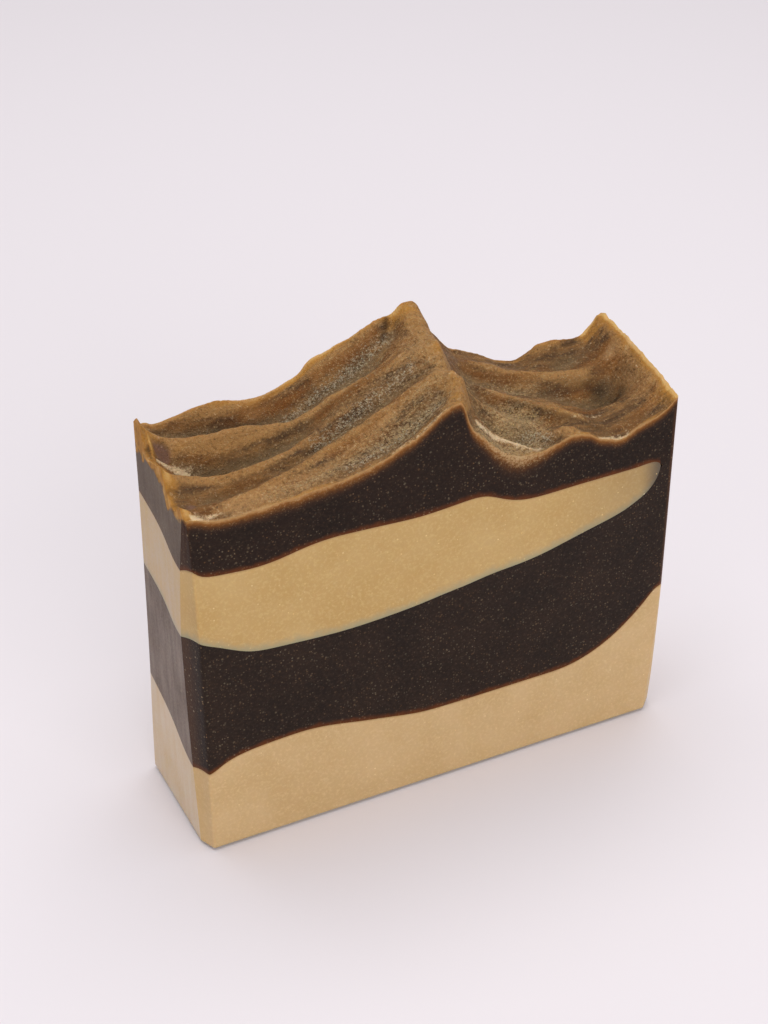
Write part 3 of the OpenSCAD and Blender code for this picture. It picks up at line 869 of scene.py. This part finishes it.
@dataclass
class Pour:
    """One pour of the loaf, with the finish of its cut faces and mould walls."""

    node: str
    slot: str
    finish: SoapFinish
    levels: int = 2
    wall_tilt: float = 0.1
    mould_turn: float = 0.985
    merge_reach: float = 1e-7
    corner_degrees: float = 8.0
    pair_degrees: float = 60.0
    sharp_degrees: float = 50.0
    corner_crease: float = 0.4
    line_end_mm: float = 99.0
    line_fade_mm: float = 0.8
    off_the_line_mm: float = 3.0
    insets_mm: tuple[float, ...] = (0.03, 0.25, 0.6, 1.2, 2.0)

    def build(self) -> bpy.types.Object:
        """Makes the dressed pour from the pour of the frame.

        Returns:
            The piece, which rides on the bar.
        """
        piece = self._refined(self._copy())
        self.shape_surface(piece.data)
        self._write_depths(piece.data)
        self._mark_edges(piece.data)
        piece.data.materials.clear()
        piece.data.materials.append(self._material())
        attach(piece, BODY)
        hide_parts(self.node)
        log.info("%s: %d faces", piece.name, len(piece.data.polygons))
        return piece

    def shape_surface(self, mesh: bpy.types.Mesh) -> None:
        """Shapes what is finer than the pour's own form. A plain pour has nothing finer."""

    def surface_of(self, face: bmesh.types.BMFace) -> Surface:
        """Tells how a face came to be from where it looks.

        Args:
            face: A face of the pour.

        Returns:
            The kind of surface.
        """
        normal = face.normal
        if abs(normal.z) < self.wall_tilt:
            return Surface.MOULD if abs(normal.x) > self.mould_turn else Surface.CUT
        if normal.z < 0 and face.calc_center_median().z < MM:
            return Surface.FOOT
        return self.top_surface() if normal.z > 0 else Surface.SEAM

    def top_surface(self) -> Surface:
        """Gives the kind of the faces that look up."""
        return Surface.SEAM

    def _material(self) -> bpy.types.Material:
        """Makes the pour's finish into one material for all its faces.

        Returns:
            The painted material.
        """
        material = bpy.data.materials.new(self.finish.name)
        tree = cleared(material)
        SoapPainter(tree, add(tree, "TexCoord")["Object"], self.finish).paint()
        return material

    def _copy(self) -> bpy.types.Object:
        """Copies the frame's pour, merges it, pairs its triangles and creases its edges.

        Returns:
            The coarse copy, with the kind of surface on each face.
        """
        shell = bmesh.new()
        shell.from_mesh(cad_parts[self.node].data)
        bmesh.ops.remove_doubles(shell, verts=shell.verts, dist=self.merge_reach)
        shell.normal_update()
        kind = shell.faces.layers.float.new("surface")
        crease = shell.edges.layers.float.new("crease_edge")
        for face in shell.faces:
            face[kind] = self.surface_of(face).value
        for edge in shell.edges:
            first, second = (face[kind] for face in edge.link_faces)
            bent = first <= Surface.MOULD.value and edge.calc_face_angle() > math.radians(self.corner_degrees)
            edge.smooth = first == second and not bent
            edge[crease] = 1.0 if first != second else self.corner_crease if bent else 0.0
        bmesh.ops.join_triangles(
            shell, faces=shell.faces, cmp_sharp=True,
            angle_face_threshold=math.radians(self.pair_degrees), angle_shape_threshold=math.pi,
        )
        mesh = bpy.data.meshes.new(self.node + "_shell")
        shell.to_mesh(mesh)
        shell.free()
        return put(mesh.name, mesh)

    def _refined(self, coarse: bpy.types.Object) -> bpy.types.Object:
        """Subdivides the copy smoothly and keeps the result as a mesh of its own.

        Args:
            coarse: The copy, which is removed.

        Returns:
            The refined piece.
        """
        finer = coarse.modifiers.new("finer", "SUBSURF")
        finer.levels = self.levels
        finer.render_levels = self.levels
        finer.boundary_smooth = "PRESERVE_CORNERS"
        bpy.context.view_layer.update()
        evaluated = coarse.evaluated_get(bpy.context.evaluated_depsgraph_get())
        mesh = bpy.data.meshes.new_from_object(evaluated)
        mesh.name = self.node + "_soap"
        bpy.data.objects.remove(coarse)
        return put(self.node + "_soap", mesh)

    def _write_depths(self, mesh: bpy.types.Mesh) -> None:
        """Stores for each point its height over the lower seam and its depth under the top, in millimetres.

        Args:
            mesh: The refined pour.
        """
        shell = bmesh.new()
        shell.from_mesh(mesh)
        tree = BVHTree.FromBMesh(shell)
        shell.free()
        over = np.zeros(len(mesh.vertices), np.float32)
        under = np.zeros(len(mesh.vertices), np.float32)
        for i, vertex in enumerate(mesh.vertices):
            place = vertex.co
            inward = Vector((place.x, place.y * 2, 0)).normalized() * MM
            for inset in self.insets_mm:
                x, y, _ = place - inward * inset
                top, up, _, _ = tree.ray_cast(Vector((x, y, RAY_START)), DOWN)
                seam, down, _, _ = tree.ray_cast(Vector((x, y, -RAY_START)), -DOWN)
                if top and seam and up.z > self.wall_tilt and down.z < -self.wall_tilt:
                    under[i] = max(0, (top.z - place.z) / MM)
                    over[i] = max(0, (place.z - seam.z) / MM)
                    break
            past = (place.x / MM - self.line_end_mm) / self.line_fade_mm
            over[i] += self.off_the_line_mm * smooth_step(past)
        for name, values in (("over_seam", over), ("under_top", under)):
            mesh.attributes.new(name, "FLOAT", "POINT").data.foreach_set("value", values)

    def _mark_edges(self, mesh: bpy.types.Mesh) -> None:
        """Shades the pour smoothly and keeps the edges between kinds of surface sharp.

        Args:
            mesh: The refined pour.
        """
        shell = bmesh.new()
        shell.from_mesh(mesh)
        kind = shell.faces.layers.float["surface"]
        for face in shell.faces:
            face.smooth = True
        for edge in shell.edges:
            first, second = (face[kind] for face in edge.link_faces)
            bend = math.degrees(edge.calc_face_angle())
            edge.smooth = abs(first - second) < 0.5 and bend < self.sharp_degrees
        shell.to_mesh(mesh)
        shell.free()


@dataclass
class SwirledTop(Pour):
    """The last pour, with a crust that was drawn into ridges, hollows and a peak."""

    wrinkle_mm: float = 0.27
    wrinkle_reach_mm: tuple[float, float] = (8.0, 1.3)
    dimple_reach_mm: float = 2.4
    grain_mm: float = 0.1
    grain_reach_mm: float = 0.6
    near_mm: float = 0.7
    far_mm: float = 2.2
    end_mm: tuple[float, float] = (3.0, 4.0)
    strongest: float = 6.0
    line_end_mm: float = 41.6
    mark_names: tuple[str, ...] = (
        "ash", "grainy", "salty", "tan", "rust", "honey", "painted_shade", "pit_shade", "drip", "broad",
    )
    ash: Marks = (
        Patch(-41.9, -11.9, 1.3, 0.8, 0.8), Vein(((-42.8, -12.2), (-41.6, -11.7), (-39.6, -11.6)), 0.55, 1),
        Vein(((-41.8, -10.4), (-39.8, -10.9), (-37.8, -11.5)), 0.35, 0.6),
        Vein(((-42.6, 2.9), (-41, 3.1), (-39.6, 2.7), (-38.2, 2)), 0.5, 1), Patch(-38.6, 1.9, 2.2, 1, 0.45),
        Vein(((7.4, -10.2), (9.8, -10.3), (12.5, -10.3), (14.4, -10.5)), 0.5, 1.2),
        Vein(((14.4, -10.7), (16.8, -11.1), (18.6, -10.8)), 0.9, 1),
        Vein(((-9, -12.4), (-3, -12.4), (1, -12.3)), 0.35, 0.5),
        Vein(((27.2, -7.8), (30.5, -6.6), (33.5, -6.4)), 0.35, 0.45),
        Vein(((29.5, -12.4), (31.8, -12.1), (34.8, -12.5)), 0.45, 0.8), Patch(4.6, -7.6, 1.1, 0.9, 0.4),
    )
    salty: Marks = (
        Vein(((0.5, 9.8), (-4.4, 9), (-7.4, 8), (-10.4, 7.9), (-16.2, 7.5), (-20, 7)), 1.4, 1),
        Vein(((0.1, -0.3), (-3.5, -0.8), (-7.5, -1.1), (-12.4, -2.1), (-18, -2.8)), 1.3, 1),
        Vein(((1, -9.4), (-2.7, -9.6), (-6.3, -9.9), (-11, -10.4), (-16, -11)), 1.1, 0.9),
        Vein(((16, -7.6), (18, -7.6), (19.6, -8.4), (21, -10)), 1.2, 1.1),
        Vein(((20.6, 4.5), (25.6, 3.5), (31, 1.2)), 1.1, 0.35),
        Patch(-38.6, 1.4, 2.6, 1.4, 0.6), Patch(-33, 9.5, 4, 1.2, 0.4),
    )
    tan: Marks = (
        Vein(((-38, -10.8), (-28, -10.6), (-20, -9.6), (-13, -8), (-6, -6.6)), 1.4, 0.7),
        Vein(((-36, -12.4), (-20, -12.4), (-4, -12.4)), 1.2, 0.5),
        Patch(16.4, -4.4, 2.8, 2.2, 1.4), Patch(14, -9.5, 5, 2.4, 0.8), Vein(((20, -8), (24, -11.5)), 1, 0.5),
        Patch(2, 4, 3, 6, 0.6), Patch(5, -5, 3, 4, 0.5), Patch(-7, 1.8, 8, 0.8, 0.3),
        Patch(41.5, -3, 3, 9, 0.6),
        Patch(-43.4, -2.5, 1.2, 3, 0.5), Patch(-42.2, 7, 2, 1.6, 0.7), Patch(-39.2, 5.2, 1.2, 1.6, 0.5),
    )
    rust: Marks = (
        Vein(((0.4, 3.8), (-2.8, 3), (-9.4, 2.4), (-15.3, 2)), 0.8, 1),
        Vein(((-0.4, 11.2), (-7, 10.2), (-13, 9.9), (-20, 9.6)), 0.9, 0.9),
        Vein(((0.8, -4.4), (-5, -5.2), (-11, -6.2), (-17, -7)), 0.7, 0.7),
        Vein(((14, 7.5), (20, 6.6), (27, 5.6)), 0.9, 0.7),
        Vein(((17, 0.6), (22, -1.6), (26, -5), (30, -7.4)), 0.7, 0.7),
        Patch(41, 3, 2, 6, 0.5), Patch(-30, 5.5, 7, 1, 0.5), Patch(-33, -5, 7, 1, 0.4),
    )
    # Painted shade filling the left pit and a small pit nearer the front.
    pit_shade: Marks = (
        Patch(-41.4, 4.7, 1.15, 0.8, 2.2), Patch(-41.6, -8.4, 0.9, 0.8, 0.9),
    )
    drip: Marks = (
        Patch(-44.5, 7.4, 3, 2.4, 4.8), Patch(-44.5, 5.2, 3, 1.2, 4.2), Patch(-44.5, -2.6, 3, 2, 2.6),
        Patch(-44.5, -5.2, 3, 1.3, 2.2), Patch(-44.5, -11, 3, 1.5, 1.8),
    )
    grainy: Marks = (
        Patch(3, -1, 24, 20, 0.5), Patch(0, 0, 60, 60, 0.15),
        Vein(((1, -9.6), (-5, -9.2), (-12, -9.4), (-20, -10.2), (-30, -11)), 1.3, 0.6),
        Patch(-1, -6.2, 3.5, 1.2, 0.3), Patch(17.5, -6.8, 4.5, 3, 1.3), Patch(18, -2.5, 4.5, 2.5, 0.7),
        Vein(((7, -11.9), (12, -12.2), (20, -12.2)), 1.1, 1), Patch(22, 4, 7, 1.6, 0.5),
        Patch(-38.5, 1, 3, 1.6, 0.6),
    )
    dabs: Marks = (
        Patch(-41.2, 4.8, 0.9, 0.7, -0.8), Patch(-43.2, 4.2, 0.45, 1.4, 0.6),
        Patch(-41.6, 3.1, 1.3, 0.4, 0.7),
        Patch(-41.2, 6.3, 1.4, 0.45, 0.4), Patch(43.3, 12.3, 0.35, 0.5, 0.5),
        Patch(25.9, -12.7, 1.6, 1.4, -0.5),
        Patch(31.4, -12.7, 1.6, 1.2, 0.45),
    )
    # Honey crust on thin rims and knobs; where marks add up past about 1.15, as along the right and back rims
    # and around the left pit, painted highlight goes on top.
    honey: Marks = (
        Patch(-44, 8, 2.4, 4.5, 1.1), Patch(-44, -3.5, 2, 3.2, 1.1), Patch(-44, -11.9, 0.8, 1.6, 1.2),
        Patch(4.6, 12, 3.5, 2.2, 0.9), Patch(5.4, 0.2, 1.2, 2, 0.7), Patch(4.6, -7.6, 1.5, 1.4, 0.6),
        Patch(3, -11.5, 2, 1.6, 0.7), Patch(42.8, -10.5, 2, 2.4, 0.7), Patch(42, 10.8, 2.2, 2.2, 0.6),
        Vein(((44.6, -12.5), (44.6, 11.8)), 1.1, 1.3), Vein(((44.6, -12), (44.6, 11.8)), 0.7, 1),
        Vein(((40.6, 12.6), (43.4, 12.6)), 0.6, 1.4), Patch(-43.2, 4.2, 0.35, 1.5, 1.2),
        Vein(((-43.9, 1.4), (-43.2, -0.9), (-43.4, -4)), 0.8, 0.6),
        Vein(((-43.9, -9.6), (-43.2, -11.4), (-42.6, -12.7)), 0.6, 0.9), Patch(-44.3, -7, 0.5, 1.4, 0.8),
        Vein(((-30, 12.6), (-18, 12.6), (-4, 12.6), (4, 12.6)), 0.8, 0.8),
        Vein(((24, 12.6), (41, 12.6)), 0.8, 0.7),
        Patch(-12, 12.5, 8, 1.2, 0.7), Patch(26, -12.6, 6, 0.8, 0.6),
    )
    # Painted shade: the deep end of the right-hand hollow, creases and hollows beside the ridges, the top of
    # the left pit and a strip under the top knob. The line along the back-left crest also deepens a brown
    # streak.
    painted_shade: Marks = (
        Patch(39.4, -1.8, 1.5, 1.6, 0.9), Patch(37.4, 1.2, 2.4, 1.3, 0.5),
        Vein(((27, 3.2), (33, 2.2), (38, 2.2)), 1.1, 0.5),
        Vein(((18.8, -0.5), (21.6, -2.4), (25, -6.6), (27.7, -8.7), (31, -9.9)), 0.6, 0.5),
        Vein(((0.4, 3.8), (-2.8, 3), (-9.4, 2.4), (-15.3, 2), (-22, 2.5)), 0.6, 0.3),
        Patch(-27, 9, 9, 1.2, 0.5), Patch(-41, 5.5, 0.9, 0.3, 0.5),
        Vein(((2, 12.3), (1.2, 11.2), (0.2, 10.2)), 0.55, 0.75),
    )
    broad: Marks = (
        Patch(13, 0, 6.5, 60, 1), Patch(-22, 0, 14, 60, 0.3),
    )

    def top_surface(self) -> Surface:
        """Gives the kind of the faces that look up."""
        return Surface.CRUST

    def shape_surface(self, mesh: bpy.types.Mesh) -> None:
        """Adds wrinkles and grains to the crust, and stores its ridges, hollows and marks.

        Args:
            mesh: The refined pour.
        """
        count = len(mesh.vertices)
        places = np.zeros(count * 3)
        mesh.vertices.foreach_get("co", places)
        places = places.reshape(-1, 3) / MM
        shell = bmesh.new()
        shell.from_mesh(mesh)
        tree = BVHTree.FromBMesh(shell)
        on_crust = np.zeros(count, bool)
        kind = shell.faces.layers.float["surface"]
        for face in shell.faces:
            if round(face[kind]) == Surface.CRUST.value:
                on_crust[[vertex.index for vertex in face.verts]] = True
        shell.free()
        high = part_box(self.node)[1]
        heights = HeightMap(tree, high.x / MM, high.y / MM)
        bend = heights.read(heights.blurred(self.near_mm) - heights.blurred(self.far_mm), places)
        start, fade = self.end_mm
        inward = smooth_step((high.x / MM - start - np.abs(places[:, 0])) / fade)
        fields = {
            "ridge": smooth_step((bend + 0.05) / 0.7),
            "hollow": smooth_step((-bend - 0.05) / 0.9) * (0.25 + 0.75 * inward),
        }
        for name in self.mark_names:
            fields[name] = sum(mark.cover(places) for mark in getattr(self, name))
        for name, values in fields.items():
            held = np.clip(values, 0, self.strongest).astype(np.float32)
            mesh.attributes.new(name, "FLOAT", "POINT").data.foreach_set("value", held)
        rough = 0.5 + fields["hollow"] + np.minimum(1.0, fields["grainy"])
        lift = np.where(on_crust, sum(mark.cover(places) for mark in self.dabs), 0)
        along, across = self.wrinkle_reach_mm
        for i in np.flatnonzero(on_crust):
            x, y, _ = places[i]
            # After its place each fractal takes its evenness, its step in size and its number of steps.
            wrinkle = noise.fractal(Vector((x / along, (y - 0.1 * x) / across + bend[i], 0.0)), 1.0, 2.0, 3)
            dimple = noise.fractal(Vector((x, y, 9.0)) / self.dimple_reach_mm, 1.0, 2.0, 2)
            grain = noise.fractal(Vector((x, y, 3.0)) / self.grain_reach_mm, 0.8, 2.0, 2)
            lift[i] += self.wrinkle_mm * (wrinkle + 0.6 * dimple) + self.grain_mm * grain * rough[i]
        places[:, 2] = np.minimum(places[:, 2] + lift, high.z / MM)
        mesh.vertices.foreach_set("co", (places * MM).ravel())
        mesh.update()


@dataclass
class SoapBar:
    """The whole slice: four pours, each set on the one below it in the mould."""

    pours: tuple[Pour, ...] = (
        Pour("base_cream_pour", "cream_soap", CREAM_FINISH),
        Pour("lower_dark_pour", "dark_soap", DARK_FINISH),
        Pour("upper_cream_pour", "cream_soap", WEDGE_FINISH),
        SwirledTop("top_dark_pour", "dark_soap", TOP_FINISH),
    )

    def build(self) -> list[bpy.types.Object]:
        """Builds the pours from the foot up."""
        return [pour.build() for pour in self.pours]


@dataclass(frozen=True)
class Lamp:
    """A square soft lamp that faces the middle of the bar, in metres and watts."""

    name: str
    place: tuple[float, float, float]
    size: float
    power: float
    target: tuple[float, float, float] = (0.0, 0.0, 0.04)

    def hang(self) -> None:
        """Hangs the lamp in the scene."""
        data = bpy.data.lights.new(self.name, "AREA")
        data.shape = "SQUARE"
        data.size = self.size
        data.energy = self.power
        lamp = put(self.name, data)
        lamp.location = self.place
        lamp.rotation_euler = (Vector(self.target) - Vector(self.place)).to_track_quat("-Z", "Y").to_euler()


@dataclass(frozen=True)
class Studio:
    """A pale floor, soft lamps and the camera at the photograph's angle, which is in degrees."""

    camera_mm: tuple[float, float, float] = (-129.06, -259.24, 241.41)
    turn: float = 25.648
    dip: float = 33.59
    roll: float = -0.435
    lens: float = 72.07
    sensor: float = 36.0
    clip_start: float = 0.01
    floor_colour: str = "#e3dde1"
    floor_size: float = 12.0
    floor_gap_mm: float = 0.05
    room_colour: str = "#f4f2f4"
    room_strength: float = 0.48
    lamps: tuple[Lamp, ...] = (
        Lamp("key", (0.03, 0.12, 0.85), 0.8, 5.4),
        Lamp("front", (0.0, -0.8, 0.4), 0.6, 3.0),
        Lamp("side", (-0.7, -0.35, 0.35), 0.5, 0.5),
    )

    def build(self) -> None:
        """Builds the floor, the world, the lamps and the camera."""
        self._floor()
        self._world()
        for lamp in self.lamps:
            lamp.hang()
        self._camera()

    def _floor(self) -> None:
        """Lays the floor just under the foot: matt white card that shows only the bar's soft shadow."""
        plate = bmesh.new()
        bmesh.ops.create_grid(plate, x_segments=1, y_segments=1, size=self.floor_size / 2)
        bmesh.ops.translate(plate, vec=(0, 0, -self.floor_gap_mm * MM), verts=plate.verts)
        mesh = bpy.data.meshes.new("floor")
        plate.to_mesh(mesh)
        plate.free()
        floor = put("floor", mesh)
        material = bpy.data.materials.new("matt_white_card")
        tree = cleared(material)
        shader = add(tree, "BsdfDiffuse", {"Color": linear(self.floor_colour)})[0]
        add(tree, "OutputMaterial", {"Surface": shader})
        mesh.materials.append(material)

    def _world(self) -> None:
        """Lights the room softly from all sides, and shows it in the floor's colour."""
        world = bpy.data.worlds.new("room")
        tree = cleared(world)
        soft = add(tree, "Background", {"Color": linear(self.room_colour), "Strength": self.room_strength})[0]
        seen = add(tree, "Background", {"Color": linear(self.floor_colour), "Strength": 1.0})[0]
        path = add(tree, "LightPath")
        plain = path["Is Camera Ray"]
        for ray in ("Is Glossy Ray", "Is Transmission Ray"):
            plain = add(tree, "Math.MAXIMUM", {0: plain, 1: path[ray]})[0]
        add(tree, "OutputWorld", {"Surface": add(tree, "MixShader", {0: plain, 1: soft, 2: seen})[0]})
        bpy.context.scene.world = world

    def _camera(self) -> None:
        """Sets the camera where the photograph was taken from."""
        turn, dip, roll = (math.radians(a) for a in (self.turn, self.dip, self.roll))
        ahead = Vector((math.sin(turn) * math.cos(dip), math.cos(turn) * math.cos(dip), -math.sin(dip)))
        level = Vector((math.cos(turn), -math.sin(turn), 0))
        up = level.cross(ahead)
        right = level * math.cos(roll) + up * math.sin(roll)
        above = up * math.cos(roll) - level * math.sin(roll)
        data = bpy.data.cameras.new("camera")
        data.sensor_width = self.sensor
        data.lens = self.lens
        data.clip_start = self.clip_start
        camera = put("camera", data)
        spin = Matrix((right, above, -ahead)).transposed()
        camera.matrix_world = Matrix.Translation(Vector(self.camera_mm) * MM) @ spin.to_4x4()
        bpy.context.scene.camera = camera


def main() -> None:
    """Builds the bar and its studio."""
    logging.basicConfig(level=logging.INFO, format="%(name)s: %(message)s")
    bpy.context.scene.view_settings.view_transform = "Standard"
    SoapBar().build()
    Studio().build()


if __name__ == "__main__":
    main()
